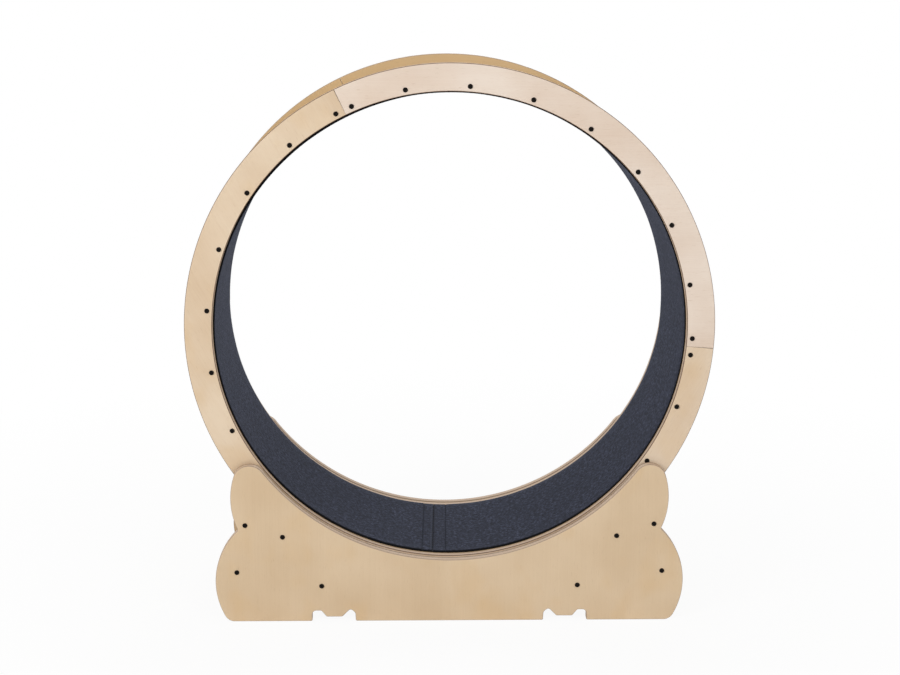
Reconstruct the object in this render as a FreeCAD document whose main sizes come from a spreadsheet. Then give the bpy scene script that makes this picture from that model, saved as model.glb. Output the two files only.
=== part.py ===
import FreeCAD, Part
import math
import os
import Sketcher

# A pet's exercise wheel of birch plywood, in millimetres.
# +X is to the right, +Y to the back and +Z up. The origin is on the floor, under the
# wheel's axis and halfway between its two rings.
#
# The wheel is two rings of three butted segments each. Slats join the rings, with a wide
# slat behind each butt joint, and carry a thin bent track with a carpet on it. The wheel
# has no axle: both rings run in four grooved rollers, which turn on bolts in the base.
# The base is two shaped panels, tied together by two end boards and two lower rails.

SIZES = (
    # wheel
    ("ring_outer_radius", 580, "outer edge of both rings"),
    ("ring_band_width", 61, "from a ring's inner edge to its outer edge"),
    ("ring_thickness", 15, "birch plywood"),
    ("ring_segment_count", 3, "segments butted into one ring"),
    ("ring_joint_angle", 115.5, "first butt joint, counterclockwise from +X in the front view"),
    ("wheel_width", 345, "over the outer faces of the two rings"),
    ("slats_per_segment", 8, "slat spaces along one ring segment"),
    ("slat_width", 50, "along the rim"),
    ("slat_thickness", 18, "towards the axis"),
    ("joint_slat_width", 90, "slat that bridges a butt joint"),
    ("joint_screw_angle", 2, "from a butt joint to the screw on each side of it"),
    ("track_thickness", 3, "bent plywood, flush with the rings' inner edges"),
    ("carpet_thickness", 4, "felt, proud of the rings' inner edges"),
    ("carpet_side_gap", 0.5, "between the carpet and each ring"),
    ("carpet_seam_angle", 266.4, "where the carpet's two ends meet, beside the lowest point"),
    ("carpet_seam_gap", 0.6, "between the two ends"),
    # screws
    ("screw_diameter", 6, "shank, over its corners"),
    ("screw_length", 50, "under the head"),
    ("screw_head_diameter", 11, "low round head"),
    ("screw_head_height", 2.5, "on the face of the plywood"),
    ("screw_clearance", 0.2, "around a shank in its hole"),
    ("screw_tip_clearance", 1, "past the tip in a blind hole"),
    # rollers
    ("roller_angle", 38.5, "from straight below the wheel's axis to a roller"),
    ("roller_tread_radius", 14.2, "bottom of the groove"),
    ("roller_flange_radius", 20, "rim of the flanges"),
    ("roller_flange_thickness", 2.5, "on each side of the groove"),
    ("roller_sides", 24, "flats that stand for a roller's round faces"),
    ("roller_running_gap", 0.3, "between the tread and the ring's edge"),
    ("roller_side_clearance", 0.5, "between a flange and the ring's face"),
    ("bearing_outer_radius", 9.5, "outer race, pressed into the tyre"),
    ("bearing_split_radius", 6.2, "outside of the inner race"),
    ("bearing_clearance", 0.1, "between the races"),
    ("bearing_width", 6, "along the axle"),
    ("axle_diameter", 6, "bolt through the panel and the bearing"),
    ("axle_clearance", 0.1, "around the bolt"),
    ("axle_tail", 1.5, "bolt past its nut"),
    ("spacer_radius", 5, "washer stack between the panel and the inner race"),
    ("nut_width", 10, "across flats"),
    ("nut_height", 5, "lock nut on the inner race"),
    # base
    ("ground_clearance", 82, "from the floor to the rings' lowest point"),
    ("panel_thickness", 18, "birch plywood"),
    ("panel_gap", 6, "between a base panel and the ring beside it"),
    ("arch_inset", 1, "from the rings' inner edge out to the panel's arch"),
    ("foot_corner_radius", 24, "between the floor edge and the lower lobe"),
    ("lower_lobe_radius", 166, ""),
    ("lower_lobe_inset", 16.1, "its centre, from the roller towards the middle"),
    ("lower_lobe_drop", 104.7, "its centre, below the roller"),
    ("upper_lobe_radius", 172, ""),
    ("upper_lobe_inset", 58.1, "its centre, from the roller towards the middle"),
    ("upper_lobe_rise", 87.3, "its centre, above the roller"),
    ("lobe_tip_radius", 40, "rounded tip between the upper lobe and the arch"),
    ("cutout_middle", 257.5, "from the panel's middle to the middle of a foot cut-out"),
    ("cutout_width", 97, "along the floor"),
    ("cutout_height", 24, "above the floor, at its two ends"),
    ("tongue_width", 36, "flat tongue between the two ends"),
    ("tongue_height", 10, "underside of the tongue above the floor"),
    ("cutout_slope", 12, "run of the slope beside the tongue"),
    ("cutout_lean", 6, "run of the leaning wall towards the panel's middle"),
    ("upper_screw_outset", 82.4, "outwards from the roller"),
    ("upper_screw_rise", 27.3, "above the roller"),
    ("lower_screw_outset", 102.3, "outwards from the roller"),
    ("lower_screw_drop", 81.7, "below the roller"),
    ("end_board_thickness", 18, "board behind the two outer screws"),
    ("end_board_height", 150, "along the line of its screws"),
    ("rail_size", 40, "square lower rail"),
    ("rail_inset", 85.6, "its screw, from the roller towards the middle"),
    ("rail_drop", 114.3, "its screw, below the roller"),
)

# What follows from the driving sizes: name and expression.
LAYOUT = (
    ("ring_inner_radius", "Sizes.ring_outer_radius - Sizes.ring_band_width"),
    ("segment_angle", "360 / Sizes.ring_segment_count"),
    ("slat_pitch", "360 / Sizes.ring_segment_count / Sizes.slats_per_segment"),
    ("slats_between_joints", "Sizes.slats_per_segment - 1"),
    ("half_wheel_width", "Sizes.wheel_width / 2"),
    ("slat_length", "Sizes.wheel_width - 2 * Sizes.ring_thickness"),
    ("track_outer_radius", "ring_inner_radius + Sizes.track_thickness"),
    ("carpet_inner_radius", "ring_inner_radius - Sizes.carpet_thickness"),
    ("carpet_width", "slat_length - 2 * Sizes.carpet_side_gap"),
    ("screw_circle_radius", "track_outer_radius + Sizes.slat_thickness / 2"),
    ("screw_radius", "Sizes.screw_diameter / 2"),
    ("screw_head_radius", "Sizes.screw_head_diameter / 2"),
    ("screw_hole_radius", "screw_radius + Sizes.screw_clearance"),
    ("shank_length", "Sizes.screw_length + Sizes.screw_head_height / 2"),
    ("slat_hole_depth",
     "Sizes.screw_length - Sizes.ring_thickness + Sizes.screw_tip_clearance"),
    ("beam_hole_depth",
     "Sizes.screw_length - Sizes.panel_thickness + Sizes.screw_tip_clearance"),
    ("axle_height", "Sizes.ring_outer_radius + Sizes.ground_clearance"),
    ("roller_circle_radius",
     "Sizes.ring_outer_radius + Sizes.roller_running_gap + Sizes.roller_tread_radius"),
    ("roller_x", "roller_circle_radius * sin(Sizes.roller_angle)"),
    ("roller_z", "axle_height - roller_circle_radius * cos(Sizes.roller_angle)"),
    ("roller_y", "half_wheel_width - Sizes.ring_thickness / 2"),
    ("groove_half_width", "Sizes.ring_thickness / 2 + Sizes.roller_side_clearance"),
    ("roller_half_width", "groove_half_width + Sizes.roller_flange_thickness"),
    ("outer_race_bore_radius", "Sizes.bearing_split_radius + Sizes.bearing_clearance"),
    ("axle_radius", "Sizes.axle_diameter / 2"),
    ("axle_bore_radius", "axle_radius + Sizes.axle_clearance"),
    ("base_inside", "half_wheel_width + Sizes.panel_gap"),
    ("beam_length", "2 * base_inside"),
    ("inner_race_start", "roller_y - Sizes.bearing_width / 2"),
    ("inner_race_end", "roller_y + Sizes.bearing_width / 2"),
    ("spacer_length", "base_inside - inner_race_end"),
    ("nut_start", "inner_race_start - Sizes.nut_height"),
    ("nut_corner_radius", "Sizes.nut_width / 2 / cos(30)"),
    ("axle_tip", "nut_start - Sizes.axle_tail"),
    ("base_outside", "base_inside + Sizes.panel_thickness"),
    ("axle_length", "base_outside - axle_tip + Sizes.screw_head_height / 2"),
    ("arch_radius", "ring_inner_radius + Sizes.arch_inset"),
    ("lower_lobe_x", "roller_x - Sizes.lower_lobe_inset"),
    ("lower_lobe_z", "roller_z - Sizes.lower_lobe_drop"),
    ("upper_lobe_x", "roller_x - Sizes.upper_lobe_inset"),
    ("upper_lobe_z", "roller_z + Sizes.upper_lobe_rise"),
    ("upper_screw_x", "roller_x + Sizes.upper_screw_outset"),
    ("upper_screw_z", "roller_z + Sizes.upper_screw_rise"),
    ("lower_screw_x", "roller_x + Sizes.lower_screw_outset"),
    ("lower_screw_z", "roller_z - Sizes.lower_screw_drop"),
    ("rail_x", "roller_x - Sizes.rail_inset"),
    ("rail_z", "roller_z - Sizes.rail_drop"),
    ("end_board_x", "(upper_screw_x + lower_screw_x) / 2"),
    ("end_board_z", "(upper_screw_z + lower_screw_z) / 2"),
    ("end_board_pitch",
     "hypot(lower_screw_x - upper_screw_x; upper_screw_z - lower_screw_z)"),
    ("end_board_tilt",
     "atan2(lower_screw_x - upper_screw_x; upper_screw_z - lower_screw_z)"),
)

ALONG_Z = FreeCAD.Vector(0, 0, 1)
TO_THE_FRONT = FreeCAD.Vector(0, -1, 0)
CENTRE = FreeCAD.Vector(0, 0, 0)


# ------------------------------------------------------------------ document

def make_sheet(doc):
    """Fill the spreadsheet with the driving sizes: name, number and meaning."""
    sheet = doc.addObject("Spreadsheet::Sheet", "Sizes")
    for row, (name, value, meaning) in enumerate(SIZES, start=1):
        sheet.set("A%d" % row, name)
        sheet.set("B%d" % row, str(value))
        sheet.set("C%d" % row, meaning)
        sheet.setAlias("B%d" % row, name)
    doc.recompute()


def make_layout(doc):
    """Hold the places and sizes that follow from the sheet."""
    layout = doc.addObject("App::VarSet", "Layout")
    for name, expression in LAYOUT:
        layout.addProperty("App::PropertyFloat", name, "Layout")
        layout.setExpression(name, expression)
    doc.recompute()


def value(doc, reference):
    """The number behind a reference such as Sizes.ring_thickness."""
    holder, name = reference.split(".")
    return float(getattr(doc.getObject(holder), name))


def origin_feature(body, role):
    return next(item for item in body.Origin.OriginFeatures if item.Role == role)


def new_body(doc, label):
    body = doc.addObject("PartDesign::Body", label)
    body.Label = label
    return body


def attach(feature, body, role, lift):
    """Lay a feature on one of its body's own planes, moved along the plane's normal."""
    feature.AttachmentSupport = (origin_feature(body, role), [""])
    feature.MapMode = "FlatFace"
    feature.setExpression(".AttachmentOffset.Base.z", lift)


def place(body, x="0", y="0", z="0", axis=TO_THE_FRONT, turn="0"):
    """Put a finished body in its place: all values are expressions."""
    body.Placement = FreeCAD.Placement(CENTRE, FreeCAD.Rotation(axis, 0))
    body.setExpression(".Placement.Base.x", x)
    body.setExpression(".Placement.Base.y", y)
    body.setExpression(".Placement.Base.z", z)
    body.setExpression(".Placement.Rotation.Angle", turn)


# ------------------------------------------------------------------ sketches
# A sketch on the XZ plane is seen from the front, and its normal points to the front.

def new_sketch(body, name, role="XZ_Plane", lift="0"):
    sketch = body.newObject("Sketcher::SketchObject", name)
    attach(sketch, body, role, lift)
    return sketch


def bind(sketch, name, constraint, expression):
    """Add a dimension and bind it."""
    sketch.renameConstraint(sketch.addConstraint(constraint), name)
    sketch.setExpression("Constraints." + name, expression)


def bind_point(sketch, name, curve, end, x, y):
    """Hold one point of a curve at bound distances from the sketch's origin."""
    now = sketch.getPoint(curve, end)
    bind(sketch, name + "_x", Sketcher.Constraint("DistanceX", -1, 1, curve, end, now.x), x)
    bind(sketch, name + "_y", Sketcher.Constraint("DistanceY", -1, 1, curve, end, now.y), y)


def add_polygon(sketch, corners):
    """A closed outline whose corners are pairs of expressions."""
    count = len(corners)
    turn = 2 * math.pi / count
    start = [FreeCAD.Vector(math.cos(turn * i), math.sin(turn * i), 0) for i in range(count)]
    for i in range(count):
        sketch.addGeometry(Part.LineSegment(start[i], start[(i + 1) % count]))
    for i in range(count):
        sketch.addConstraint(Sketcher.Constraint("Coincident", i, 2, (i + 1) % count, 1))
    for i, (x, y) in enumerate(corners):
        bind_point(sketch, "corner_%d" % (i + 1), i, 1, x, y)


def add_rectangle(sketch, left, right, bottom, top):
    add_polygon(sketch, ((left, bottom), (right, bottom), (right, top), (left, top)))


def add_circle(sketch, name, x, y, radius):
    curve = sketch.addGeometry(Part.Circle(CENTRE, ALONG_Z, 1))
    bind_point(sketch, name, curve, 3, x, y)
    bind(sketch, name + "_radius", Sketcher.Constraint("Radius", curve, 1), radius)


def add_sector(sketch, inner, outer, turn):
    """The band between two radii, from the sketch's X axis counterclockwise."""
    doc = sketch.Document
    low = value(doc, inner)
    high = value(doc, outer)
    angle = math.radians(value(doc, turn))
    along = FreeCAD.Vector(1, 0, 0)
    toward = FreeCAD.Vector(math.cos(angle), math.sin(angle), 0)
    near = sketch.addGeometry(Part.ArcOfCircle(Part.Circle(CENTRE, ALONG_Z, low), 0, angle))
    far = sketch.addGeometry(Part.ArcOfCircle(Part.Circle(CENTRE, ALONG_Z, high), 0, angle))
    first = sketch.addGeometry(Part.LineSegment(along * low, along * high))
    last = sketch.addGeometry(Part.LineSegment(toward * low, toward * high))
    for curve, end, other, other_end in (
            (near, 3, -1, 1), (far, 3, -1, 1), (near, 1, first, 1), (far, 1, first, 2),
            (near, 2, last, 1), (far, 2, last, 2)):
        sketch.addConstraint(Sketcher.Constraint("Coincident", curve, end, other, other_end))
    sketch.addConstraint(Sketcher.Constraint("PointOnObject", first, 1, -1))
    sketch.addConstraint(Sketcher.Constraint("PointOnObject", first, 2, -1))
    sketch.addConstraint(Sketcher.Constraint("PointOnObject", -1, 1, last))
    bind(sketch, "inner_radius", Sketcher.Constraint("Radius", near, low), inner)
    bind(sketch, "outer_radius", Sketcher.Constraint("Radius", far, high), outer)
    bind(sketch, "turn", Sketcher.Constraint("Angle", last, angle), turn)


def outer_crossing(first, first_radius, second, second_radius):
    """Of the two points where two circles cross, the one further to the right."""
    apart = second - first
    along = (apart.Length ** 2 + first_radius ** 2 - second_radius ** 2) / (2 * apart.Length)
    aside = math.sqrt(first_radius ** 2 - along ** 2)
    unit = apart / apart.Length
    across = FreeCAD.Vector(-unit.y, unit.x, 0)
    foot = first + unit * along
    return max(foot + across * aside, foot - across * aside, key=lambda point: point.x)


def arc(centre, radius, start, end):
    """The arc counterclockwise from the direction of start to the direction of end."""
    first = math.atan2(start.y - centre.y, start.x - centre.x)
    last = math.atan2(end.y - centre.y, end.x - centre.x)
    return Part.ArcOfCircle(Part.Circle(centre, ALONG_Z, radius), first, last)


def flipped(point):
    """The point's mirror image on the left."""
    return FreeCAD.Vector(-point.x, point.y)


def add_panel_outline(sketch):
    """Base panel: floor edge, and on each side foot, two lobes, notch, tip and the arch."""
    doc = sketch.Document
    foot_radius = value(doc, "Sizes.foot_corner_radius")
    lower_radius = value(doc, "Sizes.lower_lobe_radius")
    upper_radius = value(doc, "Sizes.upper_lobe_radius")
    tip_radius = value(doc, "Sizes.lobe_tip_radius")
    arch_radius = value(doc, "Layout.arch_radius")
    lower = FreeCAD.Vector(value(doc, "Layout.lower_lobe_x"), value(doc, "Layout.lower_lobe_z"))
    upper = FreeCAD.Vector(value(doc, "Layout.upper_lobe_x"), value(doc, "Layout.upper_lobe_z"))
    axis = FreeCAD.Vector(0, value(doc, "Layout.axle_height"))

    foot_reach = math.sqrt((lower_radius - foot_radius) ** 2 - (lower.y - foot_radius) ** 2)
    foot = FreeCAD.Vector(lower.x + foot_reach, foot_radius)
    floor_end = FreeCAD.Vector(foot.x, 0)
    past_foot = foot * 2 - lower
    notch = outer_crossing(lower, lower_radius, upper, upper_radius)
    tip = outer_crossing(upper, upper_radius - tip_radius, axis, arch_radius + tip_radius)
    past_tip = tip * 2 - upper

    floor = sketch.addGeometry(Part.LineSegment(flipped(floor_end), floor_end))
    arch = sketch.addGeometry(arc(axis, arch_radius, flipped(tip), tip))
    sketch.addConstraint(Sketcher.Constraint("Horizontal", floor))
    sketch.addConstraint(Sketcher.Constraint("PointOnObject", floor, 1, -1))
    right = [sketch.addGeometry(curve) for curve in (
        arc(foot, foot_radius, floor_end, past_foot), arc(lower, lower_radius, foot, notch),
        arc(upper, upper_radius, notch, tip), arc(tip, tip_radius, past_tip, axis))]
    left = [sketch.addGeometry(curve) for curve in (
        arc(flipped(foot), foot_radius, flipped(past_foot), flipped(floor_end)),
        arc(flipped(lower), lower_radius, flipped(notch), flipped(foot)),
        arc(flipped(upper), upper_radius, flipped(tip), flipped(notch)),
        arc(flipped(tip), tip_radius, axis, flipped(past_tip)))]

    # On the right the curves run upwards from their first end to their second, on the
    # left downwards, because every arc runs counterclockwise.
    for side, curves, low, high, sign in (("right", right, 1, 2, ""), ("left", left, 2, 1, "-")):
        foot_arc, lower_arc, upper_arc, tip_arc = curves
        floor_side = 2 if side == "right" else 1
        for kind, curve, end, other, other_end in (
                ("Tangent", floor, floor_side, foot_arc, low),
                ("Tangent", foot_arc, high, lower_arc, low),
                ("Coincident", lower_arc, high, upper_arc, low),
                ("Tangent", upper_arc, high, tip_arc, low),
                ("Tangent", tip_arc, high, arch, floor_side)):
            sketch.addConstraint(Sketcher.Constraint(kind, curve, end, other, other_end))
        for name, curve, radius, reference in (
                ("foot_radius", foot_arc, foot_radius, "Sizes.foot_corner_radius"),
                ("lower_radius", lower_arc, lower_radius, "Sizes.lower_lobe_radius"),
                ("upper_radius", upper_arc, upper_radius, "Sizes.upper_lobe_radius"),
                ("tip_radius", tip_arc, tip_radius, "Sizes.lobe_tip_radius")):
            bind(sketch, side + "_" + name, Sketcher.Constraint("Radius", curve, radius),
                 reference)
        bind_point(sketch, side + "_lower_lobe", lower_arc, 3, sign + "Layout.lower_lobe_x",
                   "Layout.lower_lobe_z")
        bind_point(sketch, side + "_upper_lobe", upper_arc, 3, sign + "Layout.upper_lobe_x",
                   "Layout.upper_lobe_z")
    bind(sketch, "arch_radius", Sketcher.Constraint("Radius", arch, arch_radius),
         "Layout.arch_radius")
    bind_point(sketch, "wheel_axis", arch, 3, "0", "Layout.axle_height")


# ------------------------------------------------------------------ features

def pad(body, sketch, name, length):
    """Raise a sketch towards the front, which is its plane's normal."""
    feature = body.newObject("PartDesign::Pad", name)
    feature.Profile = sketch
    feature.setExpression("Length", length)
    return feature


def pocket(body, sketch, name, length):
    """Cut a sketch away towards the back, and see that it took material."""
    before = body.Tip
    feature = body.newObject("PartDesign::Pocket", name)
    feature.Profile = sketch
    feature.setExpression("Length", length)
    body.Document.recompute()
    if feature.Shape.Volume >= before.Shape.Volume:
        raise ValueError("%s of %s cuts nothing" % (name, body.Label))
    return feature


def prism(body, kind, name, x, y, lift, radius, height, turn="0", sides="6"):
    """A prism that rises to the front from a point of the XZ plane.

    Screws, bolts and their holes are many, so they have six sides.
    """
    feature = body.newObject("PartDesign::%sPrism" % kind, name)
    attach(feature, body, "XZ_Plane", lift)
    feature.setExpression(".AttachmentOffset.Base.x", x)
    feature.setExpression(".AttachmentOffset.Base.y", y)
    feature.setExpression(".AttachmentOffset.Rotation.Angle", turn)
    feature.setExpression("Polygon", sides)
    feature.setExpression("Circumradius", radius)
    feature.setExpression("Height", height)
    return feature


def on_circle(radius, angle):
    """Expressions for a point on a circle about the origin."""
    return "%s * cos(%s)" % (radius, angle), "%s * sin(%s)" % (radius, angle)


def repeat(body, original, kind, steps):
    """Add the copies that a chain of patterns or mirrors makes of the newest feature.

    Each step is a pair: the origin feature it works on, and its bound properties.
    """
    copies = body.newObject("PartDesign::MultiTransform", original.Label + "_copies")
    changes = []
    for role, bound in steps:
        change = body.newObject("PartDesign::" + kind, original.Label + "_step")
        link = "MirrorPlane" if kind == "Mirrored" else "Axis"
        setattr(change, link, (origin_feature(body, role), [""]))
        for name, expression in bound:
            change.setExpression(name, expression)
        changes.append(change)
    copies.Originals = [original]
    copies.Transformations = changes
    body.Tip = copies
    return changes


def spread(body, original, steps):
    """Repeat a feature around the wheel's axis: steps are pairs of whole angle and count."""
    turns = [("Y_Axis", (("Angle", angle), ("Occurrences", count))) for angle, count in steps]
    for pattern in repeat(body, original, "PolarPattern", turns):
        pattern.Reversed = True


def mirror(body, original, planes):
    """Repeat a feature on the other side of one or more of the body's own planes."""
    repeat(body, original, "Mirrored", [(plane, ()) for plane in planes])


# ------------------------------------------------------------------ wheel

def ring_segment(doc, label, joint, y):
    """One third of a ring, from butt joint to butt joint, with a screw at each slat."""
    body = new_body(doc, label)
    sketch = new_sketch(body, "band")
    add_sector(sketch, "Layout.ring_inner_radius", "Sizes.ring_outer_radius",
               "Layout.segment_angle")
    pad(body, sketch, "plate", "Sizes.ring_thickness")
    x, z = on_circle("Layout.screw_circle_radius", "Layout.slat_pitch")
    slat_hole = prism(body, "Subtractive", "slat_hole", x, z, "0", "Layout.screw_hole_radius",
                      "Sizes.ring_thickness", "Layout.slat_pitch")
    spread(body, slat_hole,
           (("Layout.segment_angle - 2 * Layout.slat_pitch", "Layout.slats_between_joints"),))
    x, z = on_circle("Layout.screw_circle_radius", "Sizes.joint_screw_angle")
    joint_hole = prism(body, "Subtractive", "joint_hole", x, z, "0", "Layout.screw_hole_radius",
                       "Sizes.ring_thickness", "Sizes.joint_screw_angle")
    spread(body, joint_hole,
           (("Layout.segment_angle - 2 * Sizes.joint_screw_angle", "2"),))
    place(body, y=y, z="Layout.axle_height", turn=joint)
    return body


def slat(doc, label, turn, width, screw_angle, planes):
    """A board from ring to ring, with a blind screw hole mirrored in the given planes."""
    body = new_body(doc, label)
    sketch = new_sketch(body, "section", lift="-Layout.slat_length / 2")
    add_rectangle(sketch, "Layout.track_outer_radius",
                  "Layout.track_outer_radius + Sizes.slat_thickness",
                  "-%s / 2" % width, "%s / 2" % width)
    pad(body, sketch, "board", "Layout.slat_length")
    x, z = on_circle("Layout.screw_circle_radius", screw_angle)
    hole = prism(body, "Subtractive", "screw_hole", x, z,
                 "Layout.slat_length / 2 - Layout.slat_hole_depth", "Layout.screw_hole_radius",
                 "Layout.slat_hole_depth", screw_angle)
    mirror(body, hole, planes)
    place(body, z="Layout.axle_height", turn=turn)
    return body


def track_panel(doc, label, joint):
    """Thin plywood bent along the slats, from one wide slat's middle to the next."""
    body = new_body(doc, label)
    sketch = new_sketch(body, "band", lift="-Layout.slat_length / 2")
    add_sector(sketch, "Layout.ring_inner_radius", "Layout.track_outer_radius",
               "Layout.segment_angle")
    pad(body, sketch, "sheet", "Layout.slat_length")
    place(body, z="Layout.axle_height", turn=joint)
    return body


def running_carpet(doc):
    """One length of felt around the inside of the track, open at its seam."""
    body = new_body(doc, "running_carpet")
    sketch = new_sketch(body, "band", lift="-Layout.carpet_width / 2")
    add_circle(sketch, "backing", "0", "0", "Layout.ring_inner_radius")
    add_circle(sketch, "surface", "0", "0", "Layout.carpet_inner_radius")
    pad(body, sketch, "felt", "Layout.carpet_width")
    seam = new_sketch(body, "seam_outline", lift="Layout.carpet_width / 2")
    add_rectangle(seam, "Layout.carpet_inner_radius - Sizes.carpet_thickness",
                  "Layout.ring_inner_radius + Sizes.carpet_thickness",
                  "-Sizes.carpet_seam_gap / 2", "Sizes.carpet_seam_gap / 2")
    pocket(body, seam, "seam", "Layout.carpet_width")
    place(body, z="Layout.axle_height", turn="Sizes.carpet_seam_angle")
    return body


def ring_screws(doc, label, head_lift, shank_lift):
    """All the screws of one ring: one for each slat and two for each butt joint.

    A shank runs halfway into its head, so that the two are one solid.
    """
    body = new_body(doc, label)
    around = ("360", "Sizes.ring_segment_count")
    for name, angle, along in (
            ("slat_screw", "Layout.slat_pitch",
             ("Layout.segment_angle - 2 * Layout.slat_pitch", "Layout.slats_between_joints")),
            ("joint_screw", "Sizes.joint_screw_angle",
             ("Layout.segment_angle - 2 * Sizes.joint_screw_angle", "2"))):
        x, z = on_circle("Layout.screw_circle_radius", angle)
        shank = prism(body, "Additive", name + "_shank", x, z, shank_lift,
                      "Layout.screw_radius", "Layout.shank_length", angle)
        spread(body, shank, (along, around))
        head = prism(body, "Additive", name + "_head", x, z, head_lift,
                     "Layout.screw_head_radius", "Sizes.screw_head_height", angle)
        spread(body, head, (along, around))
    place(body, z="Layout.axle_height", turn="Sizes.ring_joint_angle")
    return body


def joint_angle(index):
    return "Sizes.ring_joint_angle + %d * Layout.segment_angle" % index


def make_wheel(doc):
    segments = int(value(doc, "Sizes.ring_segment_count"))
    spaces = int(value(doc, "Sizes.slats_per_segment"))
    bodies = []
    for index in range(segments):
        joint = joint_angle(index)
        bodies.append(ring_segment(doc, "front_ring_segment_%d" % (index + 1), joint,
                                   "Sizes.ring_thickness - Layout.half_wheel_width"))
        bodies.append(ring_segment(doc, "rear_ring_segment_%d" % (index + 1), joint,
                                   "Layout.half_wheel_width"))
        bodies.append(slat(doc, "joint_slat_%d" % (index + 1), joint, "Sizes.joint_slat_width",
                           "Sizes.joint_screw_angle", ("XZ_Plane", "XY_Plane")))
        bodies.append(track_panel(doc, "track_panel_%d" % (index + 1), joint))
        for step in range(1, spaces):
            turn = "%s + %d * Layout.slat_pitch" % (joint, step)
            bodies.append(slat(doc, "slat_%02d" % (index * (spaces - 1) + step), turn,
                               "Sizes.slat_width", "0", ("XZ_Plane",)))
    bodies.append(running_carpet(doc))
    bodies.append(ring_screws(doc, "front_ring_screws", "Layout.half_wheel_width",
                              "Layout.half_wheel_width - Sizes.screw_length"))
    bodies.append(ring_screws(doc, "rear_ring_screws",
                              "-Layout.half_wheel_width - Sizes.screw_head_height",
                              "-Layout.half_wheel_width - Sizes.screw_head_height / 2"))
    return bodies


# ------------------------------------------------------------------ base

BASE_SCREWS = (
    ("upper", "Layout.upper_screw_x", "Layout.upper_screw_z"),
    ("lower", "Layout.lower_screw_x", "Layout.lower_screw_z"),
    ("rail", "Layout.rail_x", "Layout.rail_z"),
)


def stand_up(body, side):
    """Set a part of the base at the front, or turn it around to the back."""
    if side == "front":
        place(body, y="-Layout.base_inside")
    else:
        place(body, y="Layout.base_inside", axis=ALONG_Z, turn="180")


def base_panel(doc, side):
    """A shaped side panel with an arch under the wheel and two foot cut-outs."""
    body = new_body(doc, side + "_base_panel")
    outline = new_sketch(body, "outline")
    add_panel_outline(outline)
    pad(body, outline, "plate", "Sizes.panel_thickness")

    start = "Sizes.cutout_middle - Sizes.cutout_width / 2"
    end = "Sizes.cutout_middle + Sizes.cutout_width / 2"
    tongue_start = "Sizes.cutout_middle - Sizes.tongue_width / 2"
    tongue_end = "Sizes.cutout_middle + Sizes.tongue_width / 2"
    profile = new_sketch(body, "cutout_outline", lift="Sizes.panel_thickness")
    add_polygon(profile, (
        (start, "0"),
        (start + " + Sizes.cutout_lean", "Sizes.cutout_height"),
        (tongue_start + " - Sizes.cutout_slope", "Sizes.cutout_height"),
        (tongue_start, "Sizes.tongue_height"),
        (tongue_end, "Sizes.tongue_height"),
        (tongue_end + " + Sizes.cutout_slope", "Sizes.cutout_height"),
        (end, "Sizes.cutout_height"),
        (end, "0"),
    ))
    cutout = pocket(body, profile, "cutout", "Sizes.panel_thickness")
    mirror(body, cutout, ("YZ_Plane",))

    axle_hole = prism(body, "Subtractive", "axle_hole", "Layout.roller_x", "Layout.roller_z",
                      "0", "Layout.axle_bore_radius", "Sizes.panel_thickness")
    mirror(body, axle_hole, ("YZ_Plane",))
    for name, x, z in BASE_SCREWS:
        screw_hole = prism(body, "Subtractive", name + "_hole", x, z, "0",
                           "Layout.screw_hole_radius", "Sizes.panel_thickness")
        mirror(body, screw_hole, ("YZ_Plane",))
    stand_up(body, side)
    return body


def base_screws(doc, side):
    """The six screws of one panel, in the end boards and the lower rails."""
    body = new_body(doc, side + "_base_screws")
    for name, x, z in BASE_SCREWS:
        shank = prism(body, "Additive", name + "_shank", x, z,
                      "Sizes.panel_thickness - Sizes.screw_length",
                      "Layout.screw_radius", "Layout.shank_length")
        mirror(body, shank, ("YZ_Plane",))
        head = prism(body, "Additive", name + "_head", x, z, "Sizes.panel_thickness",
                     "Layout.screw_head_radius", "Sizes.screw_head_height")
        mirror(body, head, ("YZ_Plane",))
    stand_up(body, side)
    return body


def beam(doc, label, width, height, screws, hole_turn="0"):
    """A board or rail from panel to panel, with screw holes at both ends.

    The turn of the holes keeps their flats beside those of the screws in a leaning board.
    """
    body = new_body(doc, label)
    sketch = new_sketch(body, "section", lift="-Layout.base_inside")
    add_rectangle(sketch, "-%s / 2" % width, "%s / 2" % width,
                  "-%s / 2" % height, "%s / 2" % height)
    pad(body, sketch, "beam", "Layout.beam_length")
    for z in screws:
        hole = prism(body, "Subtractive", "screw_hole", "0", z,
                     "Layout.base_inside - Layout.beam_hole_depth",
                     "Layout.screw_hole_radius", "Layout.beam_hole_depth", turn=hole_turn)
        mirror(body, hole, ("XZ_Plane",))
    return body


def make_base(doc):
    bodies = []
    for side in ("front", "rear"):
        bodies.append(base_panel(doc, side))
        bodies.append(base_screws(doc, side))
    tilt = "Layout.end_board_tilt"
    for side, sign, lean, hole_turn in (("left", "-", "-" + tilt, tilt),
                                        ("right", "", tilt, "-" + tilt)):
        board = beam(doc, "end_board_" + side, "Sizes.end_board_thickness",
                     "Sizes.end_board_height",
                     ("Layout.end_board_pitch / 2", "-Layout.end_board_pitch / 2"), hole_turn)
        place(board, x=sign + "Layout.end_board_x", z="Layout.end_board_z", turn=lean)
        rail = beam(doc, "lower_rail_" + side, "Sizes.rail_size", "Sizes.rail_size", ("0",))
        place(rail, x=sign + "Layout.rail_x", z="Layout.rail_z")
        bodies.extend((board, rail))
    return bodies


# ------------------------------------------------------------------ rollers

def round_prism(body, kind, name, lift, radius, height):
    """A many-sided piece of a roller, around the body's own Y axis."""
    return prism(body, kind, name, "0", "0", lift, radius, height, sides="Sizes.roller_sides")


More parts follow.
